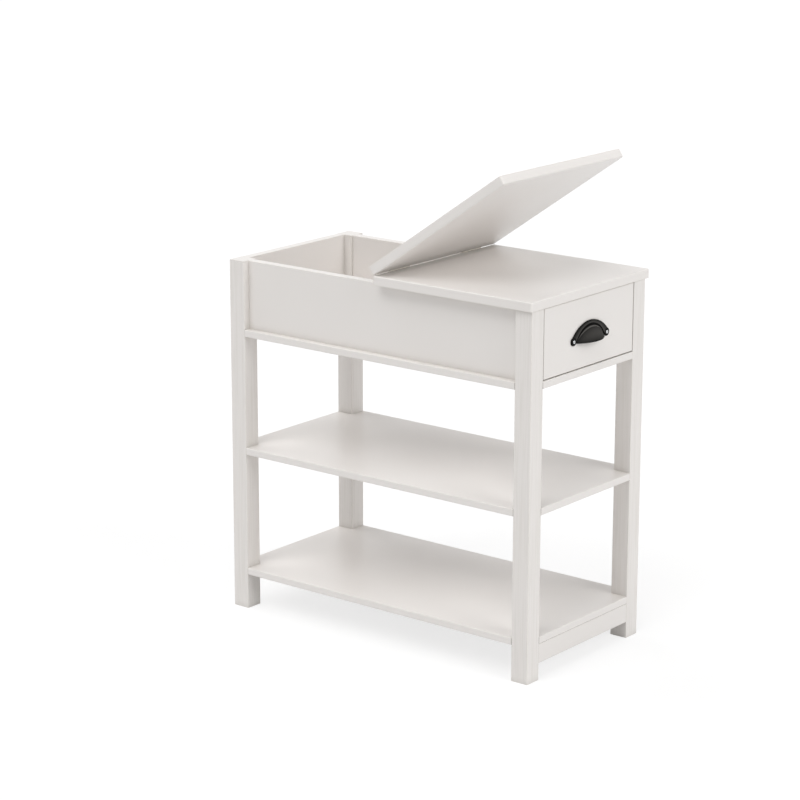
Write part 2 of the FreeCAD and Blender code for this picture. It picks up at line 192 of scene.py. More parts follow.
# %% [markdown]
# ## Floor
# The table stands on white seamless paper, whose sheet shows only where the table shades it. The paper
# could be lit until it burns out, but that light would wash over the table too. Here the paper is an honest
# pale surface for every soft ray, while the rays that look at it see part of that shade and a plain glow.

# %% White paper floor
FLOOR_SIZE = 60.0

bm = bmesh.new()
bmesh.ops.create_grid(bm, x_segments=1, y_segments=1, size=FLOOR_SIZE / 2)
floor = bpy.data.objects.new("paper_floor", bpy.data.meshes.new("paper_floor"))
bm.to_mesh(floor.data)
bm.free()
scene.collection.objects.link(floor)
print("floor", FLOOR_SIZE, "m wide")

# %% White seamless paper
PAPER = "#E6E6E6"
SHADE_SHOWN = 0.40
PAPER_GLOW = 0.725

paper = bpy.data.materials.new("white_seamless_paper")
paper.use_nodes = True
tree = paper.node_tree
tree.nodes.clear()
looked_at = seen_directly(tree)
dimmed = [SHADE_SHOWN * c for c in linear(PAPER)[:3]] + [1.0]
shade = add_node(tree, "ShaderNodeMix", {MIX_BY: looked_at, MIX_FROM: linear(PAPER), MIX_TO: dimmed},
                 data_type="RGBA")
matt = add_node(tree, "ShaderNodeBsdfDiffuse", {"Color": shade.outputs[MIXED]})
lift = add_node(tree, "ShaderNodeMath", {0: looked_at, 1: PAPER_GLOW}, operation="MULTIPLY")
glow = add_node(tree, "ShaderNodeEmission", {"Strength": lift.outputs[0]})
both = add_node(tree, "ShaderNodeAddShader", {0: matt.outputs[0], 1: glow.outputs[0]})
add_node(tree, "ShaderNodeOutputMaterial", {"Surface": both.outputs[0]})
floor.data.materials.append(paper)
print(paper.name, "shows", SHADE_SHOWN, "of its shade")

# %% [markdown]
# ## Satin white lacquer
# The boards are sanded fibreboard and the legs are planed wood, all sprayed with a warm white lacquer that
# was left to flow. Up close the film has orange peel, soft dimples a few millimetres apart; from further
# off it shows as a satin sheen that is not quite even, with a tone that drifts a little over a board. Along
# the edges the film draws thin and dries duller, inside corners get a soft painted shade, tight seams
# between boards get fine painted shadow lines, and on the legs the grain shows through as faint upright
# lines. An image texture could hold all that, but noise in the solid's own coordinates needs no unwrapping
# and keeps its size in millimetres on every board. Grain, thin edges and the painted shade of crevices get a
# small function each, and one more function makes the lacquer from them, with or without grain.

# %% Start a finish
def new_finish(name):
    """An empty material: itself, its node tree, and the socket with places on the solid in metres."""
    material = bpy.data.materials.new(name)
    material.use_nodes = True
    material.node_tree.nodes.clear()
    place = add_node(material.node_tree, "ShaderNodeTexCoord").outputs["Object"]
    return material, material.node_tree, place


finishes = {}
slots = {solid.material_slots[0].material.name for solid in nodes.values()}
print("slots that need a finish:", sorted(slots))

# %% Grain under the lacquer
# Grain lines are 1 to 2 mm apart under the film; they are drawn 3 mm apart so that they show at this
# distance.
GRAIN_WIDTH, GRAIN_RUN = 3 * MM, Vector((1.0, 1.0, 0.03))
GRAIN_STARTS, GRAIN_FULL = 0.45, 0.75


def grain_lines(tree, place, board):
    """Upright lines of grain as a height, and how much each of them shows, from 0 to 1."""
    upright = add_node(tree, "ShaderNodeMapping", {"Vector": place, "Scale": GRAIN_RUN})
    lines = add_node(tree, "ShaderNodeTexNoise",
                     {"Vector": upright.outputs[0], "W": board, "Scale": 1 / GRAIN_WIDTH, "Detail": 3.0},
                     noise_dimensions="4D")
    shown = add_node(tree, "ShaderNodeMapRange",
                     {"Value": lines.outputs[0], "From Min": GRAIN_STARTS, "From Max": GRAIN_FULL})
    return lines.outputs[0], shown.outputs[0]


print("grain lines", GRAIN_WIDTH / MM, "mm apart,", round(1 / GRAIN_RUN.z), "times as long")

# %% Thin edges
# A Bevel node rounds the shading of an edge; where its normal leaves the true one, an edge is near. The
# film starts to thin where the two agree by less than the first number, and is thinnest at the second.
EDGE_REACH = 3 * MM
EDGE_STARTS, EDGE_FULL = 0.99, 0.80


def thin_edges(tree):
    """1 along the edges of a board, where the film is thin, and 0 on its faces."""
    soft = add_node(tree, "ShaderNodeBevel", {"Radius": EDGE_REACH}, samples=4)
    hard = add_node(tree, "ShaderNodeNewGeometry")
    agree = add_node(tree, "ShaderNodeVectorMath", {0: soft.outputs[0], 1: hard.outputs["Normal"]},
                     operation="DOT_PRODUCT")
    edge = add_node(tree, "ShaderNodeMapRange",
                    {"Value": agree.outputs["Value"], "From Min": EDGE_STARTS, "From Max": EDGE_FULL})
    return edge.outputs[0]


print("edges thin over", EDGE_REACH / MM, "mm")

# %% Painted shade in corners and seams
# Ambient occlusion tells how open a place is: with a long reach it finds inside corners, with a short one
# only tight seams, and there shade is painted into the colour. Each of the two: its reach, how open a place
# is where the painted shade starts and where it is full, and the painted shade's colour.
CREVICE_SHADE = {
    "corner": (14 * MM, 0.90, 0.35, "#DAD6D1"),
    "seam": (1.2 * MM, 0.45, 0.24, "#1E1A17"),
}


def paint_crevice_shade(tree, tone):
    """The same tone with painted soft shade in inside corners and fine painted shadow lines in tight seams.
    """
    for reach, starts, full, colour in CREVICE_SHADE.values():
        open_sky = add_node(tree, "ShaderNodeAmbientOcclusion", {"Distance": reach}, samples=12)
        shut_in = add_node(tree, "ShaderNodeMapRange",
                           {"Value": open_sky.outputs["AO"], "From Min": starts, "From Max": full})
        tone = add_node(tree, "ShaderNodeMix",
                        {MIX_BY: shut_in.outputs[0], MIX_FROM: tone, MIX_TO: linear(colour)},
                        data_type="RGBA").outputs[MIXED]
    return tone


print("shade in", " and ".join(f"{name}s" for name in CREVICE_SHADE))

# %% Sprayed satin lacquer
# The dimples are really 1 to 3 mm apart; they are drawn 5 mm apart so that they show at this distance.
PEEL_SIZE, PEEL_DEPTH = 5 * MM, 0.012 * MM
DRIFT_SIZE, DRIFT_LOW, DRIFT_HIGH = 160 * MM, 0.3, 0.7
# A board's random number, from 0 to 1, times this puts every board in a part of the noise of its own.
BOARDS_APART = 50.0
LACQUER_LIGHT, LACQUER_DEEP, LACQUER_THIN, LACQUER_GRAIN = "#EEEAE7", "#EBE7E3", "#E7E2DC", "#E5E1DC"
LACQUER_IOR = 1.5
SHEEN_LOW, SHEEN_HIGH, EDGE_DULLING = 0.30, 0.38, 0.10


def sprayed_lacquer(name, grained):
    """Satin white lacquer over plain fibreboard, or over wood whose upright grain shows through it."""
    material, tree, place = new_finish(name)
    number = add_node(tree, "ShaderNodeObjectInfo").outputs["Random"]
    board = add_node(tree, "ShaderNodeMath", {0: number, 1: BOARDS_APART}, operation="MULTIPLY").outputs[0]
    height = add_node(tree, "ShaderNodeTexNoise",
                      {"Vector": place, "Scale": 1 / PEEL_SIZE, "Detail": 2.0}).outputs[0]
    drift = add_node(tree, "ShaderNodeTexNoise",
                     {"Vector": place, "W": board, "Scale": 1 / DRIFT_SIZE, "Detail": 3.0},
                     noise_dimensions="4D").outputs[0]
    tone = add_node(tree, "ShaderNodeMix",
                    {MIX_BY: drift, MIX_FROM: linear(LACQUER_LIGHT), MIX_TO: linear(LACQUER_DEEP)},
                    data_type="RGBA").outputs[MIXED]
    if grained:
        lines, shown = grain_lines(tree, place, board)
        tone = add_node(tree, "ShaderNodeMix",
                        {MIX_BY: shown, MIX_FROM: tone, MIX_TO: linear(LACQUER_GRAIN)},
                        data_type="RGBA").outputs[MIXED]
        height = add_node(tree, "ShaderNodeMath", {0: height, 1: lines}, operation="SUBTRACT").outputs[0]
    edge = thin_edges(tree)
    tone = add_node(tree, "ShaderNodeMix", {MIX_BY: edge, MIX_FROM: tone, MIX_TO: linear(LACQUER_THIN)},
                    data_type="RGBA").outputs[MIXED]
    # Painted shade: greyer inside corners and fine dark shadow lines in tight seams.
    tone = paint_crevice_shade(tree, tone)
    sheen = add_node(tree, "ShaderNodeMapRange",
                     {"Value": drift, "From Min": DRIFT_LOW, "From Max": DRIFT_HIGH,
                      "To Min": SHEEN_LOW, "To Max": SHEEN_HIGH})
    dull = add_node(tree, "ShaderNodeMath", {0: edge, 1: EDGE_DULLING, 2: sheen.outputs[0]},
                    operation="MULTIPLY_ADD")
    dimples = add_node(tree, "ShaderNodeBump", {"Height": height, "Distance": PEEL_DEPTH})
    film = add_node(tree, "ShaderNodeBsdfPrincipled",
                    {"Base Color": tone, "Roughness": dull.outputs[0], "Normal": dimples.outputs[0],
                     "IOR": LACQUER_IOR})
    add_node(tree, "ShaderNodeOutputMaterial", {"Surface": film.outputs[0]})
    print(name, "peel", PEEL_SIZE / MM, "mm, drift", DRIFT_SIZE / MM, "mm, grained", grained)
    return material


finishes["white_lacquer"] = sprayed_lacquer("satin_white_lacquer_sprayed_on_fibreboard", False)
leg_finish = sprayed_lacquer("satin_white_lacquer_sprayed_on_planed_wood", True)

# %% [markdown]
# ## White foil on the drawer box
# The drawer's sides, back and floor are thin boards wrapped in a matt white paper foil, pressed with a fine
# linen weave that hides scratches. A checker could stand for the weave, but it has hard squares. Here soft
# waves run along all three axes, so that any face shows two of them crossed, and a slow noise keeps the
# tone from looking printed. The foil stays duller and a little greyer than the lacquer beside it.

# %% Pressed linen foil
# The threads are really about 0.6 mm apart; they are drawn 1.5 mm apart so that they show in a near view.
THREAD_SIZE, THREAD_DEPTH, THREAD_WANDER = 1.5 * MM, 0.02 * MM, 0.6
# The bands of a Wave texture with a scale of 1 are this far apart.
WAVE_PERIOD = 0.314
FOIL_LIGHT, FOIL_DEEP = "#EAE8E4", "#E2DFDA"
FOIL_ROUGH_LOW, FOIL_ROUGH_HIGH = 0.48, 0.60

foil, tree, place = new_finish("white_linen_foil_pressed")
weave = []
for along in ("X", "Y", "Z"):
    threads = add_node(tree, "ShaderNodeTexWave",
                       {"Vector": place, "Scale": WAVE_PERIOD / THREAD_SIZE, "Distortion": THREAD_WANDER,
                        "Detail": 1.0}, bands_direction=along)
    weave.append(threads.outputs["Fac"])
pair = add_node(tree, "ShaderNodeMath", {0: weave[0], 1: weave[1]}, operation="ADD")
cloth = add_node(tree, "ShaderNodeMath", {0: pair.outputs[0], 1: weave[2]}, operation="ADD").outputs[0]
shade = add_node(tree, "ShaderNodeTexNoise", {"Vector": place, "Scale": 1 / DRIFT_SIZE, "Detail": 4.0})
tone = add_node(tree, "ShaderNodeMix",
                {MIX_BY: shade.outputs[0], MIX_FROM: linear(FOIL_LIGHT), MIX_TO: linear(FOIL_DEEP)},
                data_type="RGBA")
matt = add_node(tree, "ShaderNodeMapRange",
                {"Value": cloth, "From Max": len(weave), "To Min": FOIL_ROUGH_LOW,
                 "To Max": FOIL_ROUGH_HIGH})
ribs = add_node(tree, "ShaderNodeBump", {"Height": cloth, "Distance": THREAD_DEPTH})
skin = add_node(tree, "ShaderNodeBsdfPrincipled",
                {"Base Color": tone.outputs[MIXED], "Roughness": matt.outputs[0], "Normal": ribs.outputs[0],
                 "IOR": LACQUER_IOR})
add_node(tree, "ShaderNodeOutputMaterial", {"Surface": skin.outputs[0]})
finishes["drawer_foil"] = foil
print(foil.name, "thread", THREAD_SIZE / MM, "mm")

# %% [markdown]
# ## Beech runners
# The drawer slides on two planed beech strips. Beech is pale pinkish tan, with soft bands from its growth
# rings and many short brown flecks, 1 to 3 mm long, that all lie along the grain. A Wave texture could draw
# the rings, but its bands are too regular. Noise that is stretched along the strip gives the bands, and a
# second, finer one cut off at a threshold gives the flecks.

# %% Planed beech
BAND_WIDTH, BAND_STRETCH, BAND_WANDER = 6 * MM, Vector((1.0, 0.08, 1.0)), 0.4
FLECK_WIDTH, FLECK_STRETCH, PORE_DEPTH = 0.5 * MM, Vector((1.0, 0.2, 1.0)), 0.03 * MM
FLECK_STARTS, FLECK_FULL = 0.60, 0.66
BEECH_PALE, BEECH_BAND, BEECH_FLECK = "#D9B68C", "#C99F72", "#A77A50"
BEECH_ROUGH_LOW, BEECH_ROUGH_HIGH = 0.42, 0.58
BEECH_IOR = 1.5

beech, tree, place = new_finish("planed_beech")
along = add_node(tree, "ShaderNodeMapping", {"Vector": place, "Scale": BAND_STRETCH})
short = add_node(tree, "ShaderNodeMapping", {"Vector": place, "Scale": FLECK_STRETCH})
bands = add_node(tree, "ShaderNodeTexNoise",
                 {"Vector": along.outputs[0], "Scale": 1 / BAND_WIDTH, "Detail": 5.0,
                  "Distortion": BAND_WANDER})
dashes = add_node(tree, "ShaderNodeTexNoise",
                  {"Vector": short.outputs[0], "Scale": 1 / FLECK_WIDTH, "Detail": 1.0})
flecks = add_node(tree, "ShaderNodeMapRange",
                  {"Value": dashes.outputs[0], "From Min": FLECK_STARTS, "From Max": FLECK_FULL})
wood = add_node(tree, "ShaderNodeMix",
                {MIX_BY: bands.outputs[0], MIX_FROM: linear(BEECH_PALE), MIX_TO: linear(BEECH_BAND)},
                data_type="RGBA")
tone = add_node(tree, "ShaderNodeMix",
                {MIX_BY: flecks.outputs[0], MIX_FROM: wood.outputs[MIXED], MIX_TO: linear(BEECH_FLECK)},
                data_type="RGBA")
planed = add_node(tree, "ShaderNodeMapRange",
                  {"Value": bands.outputs[0], "To Min": BEECH_ROUGH_LOW, "To Max": BEECH_ROUGH_HIGH})
pores = add_node(tree, "ShaderNodeBump", {"Height": dashes.outputs[0], "Distance": PORE_DEPTH})
strip = add_node(tree, "ShaderNodeBsdfPrincipled",
                 {"Base Color": tone.outputs[MIXED], "Roughness": planed.outputs[0],
                  "Normal": pores.outputs[0], "IOR": BEECH_IOR})
add_node(tree, "ShaderNodeOutputMaterial", {"Surface": strip.outputs[0]})
finishes["beech"] = beech
print(beech.name, "flecks", FLECK_WIDTH / MM, "mm wide")

# %% [markdown]
# ## Nickel-plated hinges
# The hinge leaves are pressed from steel strip and nickel plated. Nickel is a warm grey metal, and the
# strip's rolling lines stay faintly visible along the hinge under the plating, which draws its highlights
# out. An anisotropic shader could draw them out too, but it shows no single line. A metal has no colour of
# its own under the shine, so metallic is 1, and the lines come from small changes in tint, roughness and
# height.

# %% Plated steel
# Rolling lines are finer than 0.1 mm; they are drawn 0.4 mm apart so that they show in a near view.
LINE_WIDTH, LINE_STRETCH, LINE_DEPTH = 0.4 * MM, Vector((0.03, 1.0, 1.0)), 0.005 * MM
NICKEL_LIGHT, NICKEL_DEEP = "#CFC9BF", "#B8B1A6"
NICKEL_ROUGH_LOW, NICKEL_ROUGH_HIGH = 0.22, 0.38

nickel, tree, place = new_finish("nickel_plated_rolled_steel")
drawn = add_node(tree, "ShaderNodeMapping", {"Vector": place, "Scale": LINE_STRETCH})
lines = add_node(tree, "ShaderNodeTexNoise",
                 {"Vector": drawn.outputs[0], "Scale": 1 / LINE_WIDTH, "Detail": 2.0}).outputs[0]
tone = add_node(tree, "ShaderNodeMix",
                {MIX_BY: lines, MIX_FROM: linear(NICKEL_LIGHT), MIX_TO: linear(NICKEL_DEEP)},
                data_type="RGBA")
worn = add_node(tree, "ShaderNodeMapRange",
                {"Value": lines, "To Min": NICKEL_ROUGH_LOW, "To Max": NICKEL_ROUGH_HIGH})
grooves = add_node(tree, "ShaderNodeBump", {"Height": lines, "Distance": LINE_DEPTH})
plate = add_node(tree, "ShaderNodeBsdfPrincipled",
                 {"Base Color": tone.outputs[MIXED], "Roughness": worn.outputs[0],
                  "Normal": grooves.outputs[0], "Metallic": 1.0})
add_node(tree, "ShaderNodeOutputMaterial", {"Surface": plate.outputs[0]})
finishes["nickel_steel"] = nickel
print(nickel.name, "lines", LINE_WIDTH / MM, "mm")

# %% [markdown]
# ## Black powder coat
# The pull is a die casting with a baked matt black powder coat. Powder melts into a skin with a fine
# leathery texture that swallows part of its own gloss, so its highlights are broad and weak. It is a paint,
# not a metal, and metallic stays 0. Hands wear it, so proud places go greyer and smoother, and the bead and
# the crown of the dome also get a painted highlight, lightest in the middle and darker towards the lip and
# the ears. The grooves get painted near-black shade. A curvature node could guess which places are proud,
# but it needs a very fine mesh. Here the casting's points carry the wear and painted highlight as a number
# of their own, and ambient occlusion finds the grooves for the painted shade.

# %% Baked powder coat
# The leathery cells are about 0.4 mm wide; they are drawn 0.9 mm wide so that they show in a near view.
CELL_SIZE, CELL_DEPTH = 0.9 * MM, 0.02 * MM
# The coat's two own tones, the colour of wear and painted highlight, and the painted shade in the grooves.
COAT_DEEP, COAT_GREY, COAT_WEAR_AND_HIGHLIGHT, COAT_GROOVE_SHADE = "#0F0E0D", "#171615", "#575552", "#050404"
COAT_IOR, COAT_GLOSS = 1.5, 0.11
COAT_ROUGH_LOW, COAT_ROUGH_HIGH, RUB_POLISH = 0.68, 0.80, 0.28
# Painted shade in the grooves: how far the coat looks round for walls, and how open it is where the
# painted near-black shade starts and is full.
GROOVE_SHADE_REACH, GROOVE_SHADE_STARTS, GROOVE_SHADE_FULL = 4 * MM, 0.85, 0.45

powder, tree, place = new_finish("matt_black_powder_coat_baked")
cells = add_node(tree, "ShaderNodeTexNoise",
                 {"Vector": place, "Scale": 1 / CELL_SIZE, "Detail": 2.0}).outputs[0]
wear_and_highlight_share = add_node(tree, "ShaderNodeAttribute", attribute_name="wear_and_highlight").outputs["Fac"]
base = add_node(tree, "ShaderNodeMix",
                {MIX_BY: cells, MIX_FROM: linear(COAT_DEEP), MIX_TO: linear(COAT_GREY)}, data_type="RGBA")
# Wear and painted highlight lighten the coat where the casting's points carry them.
tone = add_node(tree, "ShaderNodeMix",
                {MIX_BY: wear_and_highlight_share, MIX_FROM: base.outputs[MIXED], MIX_TO: linear(COAT_WEAR_AND_HIGHLIGHT)}, data_type="RGBA")
baked = add_node(tree, "ShaderNodeMapRange",
                 {"Value": cells, "To Min": COAT_ROUGH_LOW, "To Max": COAT_ROUGH_HIGH})
worn = add_node(tree, "ShaderNodeMath", {0: wear_and_highlight_share, 1: -RUB_POLISH, 2: baked.outputs[0]},
                operation="MULTIPLY_ADD")
# Painted shade: the grooves go near black, and duller, where walls close round the coat.
open_sky = add_node(tree, "ShaderNodeAmbientOcclusion", {"Distance": GROOVE_SHADE_REACH}, samples=8)
groove_shade = add_node(tree, "ShaderNodeMapRange",
                {"Value": open_sky.outputs["AO"], "From Min": GROOVE_SHADE_STARTS, "From Max": GROOVE_SHADE_FULL})
dark = add_node(tree, "ShaderNodeMix",
                {MIX_BY: groove_shade.outputs[0], MIX_FROM: tone.outputs[MIXED], MIX_TO: linear(COAT_GROOVE_SHADE)},
                data_type="RGBA")
dull = add_node(tree, "ShaderNodeMath", {0: groove_shade.outputs[0], 1: worn.outputs[0]}, operation="MAXIMUM")
leather = add_node(tree, "ShaderNodeBump", {"Height": cells, "Distance": CELL_DEPTH})
coat = add_node(tree, "ShaderNodeBsdfPrincipled",
                {"Base Color": dark.outputs[MIXED], "Roughness": dull.outputs[0],
                 "Normal": leather.outputs[0], "Specular IOR Level": COAT_GLOSS, "IOR": COAT_IOR})
add_node(tree, "ShaderNodeOutputMaterial", {"Surface": coat.outputs[0]})
finishes["black_metal"] = powder
print(powder.name, "cells", CELL_SIZE / MM, "mm")

# %% [markdown]
# ## Bright screws
# The pull and the hinges are held by small zinc-plated screws, tumbled bright, with a cross recess. Zinc is
# a cool bright metal. An even shine would do from afar, but up close it looks like chrome: tumbling leaves
# a slight cloudiness, so tint and roughness drift over a millimetre or so.

# %% Bright zinc
CLOUD_SIZE = 1.2 * MM
ZINC_LIGHT, ZINC_DEEP = "#DADBDC", "#C6C8CA"
ZINC_ROUGH_LOW, ZINC_ROUGH_HIGH = 0.14, 0.30

zinc, tree, place = new_finish("bright_zinc_plate_tumbled")
cloud = add_node(tree, "ShaderNodeTexNoise",
                 {"Vector": place, "Scale": 1 / CLOUD_SIZE, "Detail": 2.0}).outputs[0]
tone = add_node(tree, "ShaderNodeMix",
                {MIX_BY: cloud, MIX_FROM: linear(ZINC_LIGHT), MIX_TO: linear(ZINC_DEEP)}, data_type="RGBA")
hazy = add_node(tree, "ShaderNodeMapRange",
                {"Value": cloud, "To Min": ZINC_ROUGH_LOW, "To Max": ZINC_ROUGH_HIGH})
plate = add_node(tree, "ShaderNodeBsdfPrincipled",
                 {"Base Color": tone.outputs[MIXED], "Roughness": hazy.outputs[0], "Metallic": 1.0})
add_node(tree, "ShaderNodeOutputMaterial", {"Surface": plate.outputs[0]})
finishes["bright_screw"] = zinc
print(zinc.name, "clouds", CLOUD_SIZE / MM, "mm")

# %% [markdown]
# ## Dress the construction model
# Every solid came in with a plain material named after the record's slot it belongs to. Its shape is right,
# so it only needs the finish of that slot in its material slot; the mesh itself is left alone. The legs
# share the boards' slot, and get the same lacquer with grain under it.

# %% Give each solid its finish
for name, solid in nodes.items():
    slot = solid.material_slots[0]
    slot.material = leg_finish if name.endswith("_leg") else finishes[slot.material.name]
for finish in (leg_finish, *finishes.values()):
    dressed = sum(solid.material_slots[0].material == finish for solid in nodes.values())
    print(finish.name, "on", dressed, "solids")

# %% [markdown]
# ## The cup pull
# The real pull is one thin casting: a flat arched flange with a round ear at each end, a deep groove, a
# bead where the cup begins, and a domed cup that is open below with a rounded lip. Joining a sphere to a
# plate with booleans would leave hard seams. Instead one section, from the flange's back edge over groove,
# bead, dome and lip to the inside, is repeated along the arch and skinned. The cup is part of a ball, so
# each line of the dome is an arc between two corners.

# %% Sizes of the pull
pull_low, pull_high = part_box("cup_pull")
screw_low, screw_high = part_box("pull_screws")
FLANGE, WALL, EDGE_ROUND = 2.4 * MM, 1.4 * MM, 0.5 * MM
GROOVE_WIDTH, GROOVE_DEPTH = 2.4 * MM, 1.6 * MM
CUP_HALF, CUP_HEIGHT, LIP_DROP = 38 * MM, 25 * MM, 4.3 * MM
PROJECTION = pull_high.y - pull_low.y
SCREW_Z = (screw_low.z + screw_high.z) / 2
HEAD_RADIUS = (screw_high.z - screw_low.z) / 2
EAR_X = screw_high.x - HEAD_RADIUS
EAR_RADIUS = pull_high.x - EAR_X
LIP_Z = SCREW_Z - LIP_DROP
BALL_BACK = (CUP_HALF ** 2 - PROJECTION ** 2) / (2 * PROJECTION)
BALL_DROP = (CUP_HALF ** 2 - CUP_HEIGHT ** 2) / (2 * CUP_HEIGHT)
BALL_RADIUS = math.sqrt(CUP_HALF ** 2 + BALL_BACK ** 2 + BALL_DROP ** 2)
print("cup ball radius", round(BALL_RADIUS / MM, 1), "mm, ears", round(EAR_RADIUS / MM, 1), "mm")

# %% [markdown]
# ### Lines of the casting
# Three lines make up a section: arcs on the ball, which are tilted further from the drawer towards the lip,
# the flat arch of the flange, and the bead, which is a low half round on the ball with a slight undercut
# below it. They could be drawn by hand as curves, but as formulas they follow the sizes above.

# %% Arcs, arch and bead
# The bead's two edges are tilts of the dome in degrees.
BEAD_START, BEAD_END, BEAD_RISE, UNDERCUT = 5, 13, 0.8 * MM, 0.6 * MM


def on_ball(radius, base, tilt, t):
    """A point of the cup's ball on the arc, tilted from the flange to the lip, between the cup's corners."""
    back, drop = BALL_BACK + base, BALL_DROP
    corner = math.sqrt(radius ** 2 - back ** 2 - drop ** 2)
    centre = -back * math.sin(tilt) - drop * math.cos(tilt)
    arc = math.hypot(corner, centre)
    angle = t * math.atan2(corner, -centre)
    rise = centre + arc * math.cos(angle)
    return Vector((arc * math.sin(angle), base + rise * math.sin(tilt), rise * math.cos(tilt)))


def on_arch(half, top, foot, out, t):
    """A point of a flat arch over the cup, given its half width, its top and its foot above the lip."""
    height = top - foot
    radius = (half ** 2 + height ** 2) / (2 * height)
    angle = t * math.atan2(half, radius - height)
    return Vector((radius * math.sin(angle), out, top - radius + radius * math.cos(angle)))


def bead(degrees):
    """How far the bead stands off the ball at a tilt, and how far the groove cuts in under it."""
    if degrees < BEAD_START:
        return UNDERCUT * (degrees / BEAD_START - 1)
    across = (degrees - BEAD_START) * (BEAD_END - degrees) * 4 / (BEAD_END - BEAD_START) ** 2
    return BEAD_RISE * math.sqrt(max(0.0, across))


print("bead stands", bead((BEAD_START + BEAD_END) / 2) / MM, "mm off the ball")

# %% [markdown]
# ### One section
# The section is a closed line: round the flange's edge, down into the groove, over bead and dome to the
# lip, and back along the inside. Each point also says how much wear and painted highlight it gets: most on
# the bead, some on the flange and the crown of the dome, and none in the groove or under the lip. The
# crown's share is a painted highlight that fades towards the lip and the ears. Wear and highlight could be
# painted by hand, but worked out with the points they lie right at once.

# %% One section of the casting
# How much wear the flange's edge gets, and the peak of wear and painted highlight on the dome's crown.
FLANGE_RUB, DOME_WEAR_AND_HIGHLIGHT = 0.6, 0.42
# The flange's edge and the lip are rounded in steps of these turns, in degrees.
EDGE_TURNS, LIP_TURNS = (0, 30, 60, 90), (45, 90, 135)
# Tilts of the dome's rows in degrees: close together over the bead, then further apart up to the lip.
DOME_ROWS = [*range(15), *range(18, 87, 4), 87.5]
INSIDE_ROWS = 8
# The groove's bed is this share of its mouth, and the bead sinks into the ball at the cup's two corners.
BED_SHARE, BEAD_FADE = 0.9, 4


def pull_section(t):
    """The closed line round the casting at one station t, from -1 at the left ear to 1 at the right.

    Each point comes with its share of wear and painted highlight, from 0 to 1."""
    half, top, foot = pull_high.x, pull_high.z - LIP_Z, LIP_DROP
    points = [(on_arch(half, top, foot, 0, t), 0)]
    for turn in EDGE_TURNS:
        inset = EDGE_ROUND * (1 - math.cos(math.radians(turn)))
        out = FLANGE - EDGE_ROUND + EDGE_ROUND * math.sin(math.radians(turn))
        points.append((on_arch(half - inset, top - inset, foot, out, t), 0))
    bed = FLANGE - GROOVE_DEPTH
    root = on_ball(BALL_RADIUS, bed, 0, t)
    outward = Vector((root.x, 0, root.z + BALL_DROP)).normalized()
    points.append((root + outward * GROOVE_WIDTH + Vector((0, GROOVE_DEPTH, 0)), FLANGE_RUB))
    points.append((root + outward * GROOVE_WIDTH * BED_SHARE, 0))
    for degrees in DOME_ROWS:
        point = on_ball(BALL_RADIUS, bed, math.radians(degrees), t)
        away = (point - Vector((0, -BALL_BACK, -BALL_DROP))).normalized()
        stand = bead(degrees) * (1 - t ** BEAD_FADE)
        # The crown is painted lighter as a highlight and wear, most at mid-dome and mid-arch, fading to the
        # lip and the ears.
        crown = DOME_WEAR_AND_HIGHLIGHT * math.sin(math.radians(2 * degrees)) * (1 - t ** 2) if degrees > BEAD_END else 0
        points.append((point + away * stand, max(crown, stand / BEAD_RISE)))
    last = math.radians(DOME_ROWS[-1])
    outer, inner = point, on_ball(BALL_RADIUS - WALL, 0, last, t)
    middle, across = (outer + inner) / 2, (outer - inner) / 2
    for turn in LIP_TURNS:
        bulge = min(WALL / 2, middle.z) * math.sin(math.radians(turn))
        points.append((middle + across * math.cos(math.radians(turn)) - Vector((0, 0, bulge)), 0))
    for row in range(INSIDE_ROWS, -1, -1):
        points.append((on_ball(BALL_RADIUS - WALL, 0, last * row / INSIDE_ROWS, t), 0))
    return points


middle_section = pull_section(0)
reach = max(point.y for point, _ in middle_section)
print("points in a section", len(middle_section), "reach", round(reach / MM, 2), "mm")

# %% [markdown]
# ### Turned shapes and finished pieces
# The ears of the pull and all screw heads are round, so they are turned from a profile as on a lathe. A
# Screw modifier could do that too, but in a bmesh the turned shape can go straight into a larger mesh. A
# second function cleans a bmesh, shades it smooth up to its sharp edges, and puts it into the scene.

# %% Turn a profile and finish a piece
TURN_STEPS = 32
WELD = 0.002 * MM
SHARP_FROM = math.radians(35)


def turned(bm, profile, matrix):
    """Turn a closed line of (radius, height) points about Z into a ring or a solid, and place it.

    A tag marks the points that are in place already."""
    made = [bm.verts.new((radius, 0, height)) for radius, height in profile]
    edges = [bm.edges.new((a, b)) for a, b in zip(made, made[1:] + made[:1])]
    bmesh.ops.spin(bm, geom=made + edges, cent=(0, 0, 0), axis=(0, 0, 1), angle=math.tau,
                   steps=TURN_STEPS, use_merge=True)
    loose = [vert for vert in bm.verts if not vert.tag]
    bmesh.ops.transform(bm, matrix=matrix, verts=loose)
    for vert in loose:
        vert.tag = True


def to_piece(bm, name, finish):
    """Clean a bmesh and make it a smooth piece with sharp edges above an angle."""
    bmesh.ops.remove_doubles(bm, verts=bm.verts, dist=WELD)
    bmesh.ops.holes_fill(bm, edges=[edge for edge in bm.edges if edge.is_boundary])
    bmesh.ops.recalc_face_normals(bm, faces=bm.faces)
    mesh = bpy.data.meshes.new(name)
    bm.to_mesh(mesh)
    bm.free()
    mesh.polygons.foreach_set("use_smooth", [True] * len(mesh.polygons))
    mesh.set_sharp_from_angle(angle=SHARP_FROM)
    mesh.materials.append(finish)
    piece = bpy.data.objects.new(name, mesh)
    scene.collection.objects.link(piece)
    return piece


print("round shapes get", TURN_STEPS, "steps")

# %% [markdown]
# ### Skin the casting
# The sections stand side by side from ear to ear, and four-sided faces join each point to the same point of
# the next section. The ears are turned like washers and overlap the ends of the flange, a hair prouder than
# it, so that their faces never lie in one plane. A curve with a bevel profile could sweep a section too,
# but it can't change the section on the way.

# %% Skin the casting and turn its ears
STATIONS = 60
EAR_RISE = FLANGE + 0.1 * MM
HOLE_RADIUS = 1.8 * MM
# The middle of the ear's rounded edge lies this far inside the sharp corner, in both directions.
ROUND_CUT = EDGE_ROUND * 0.3

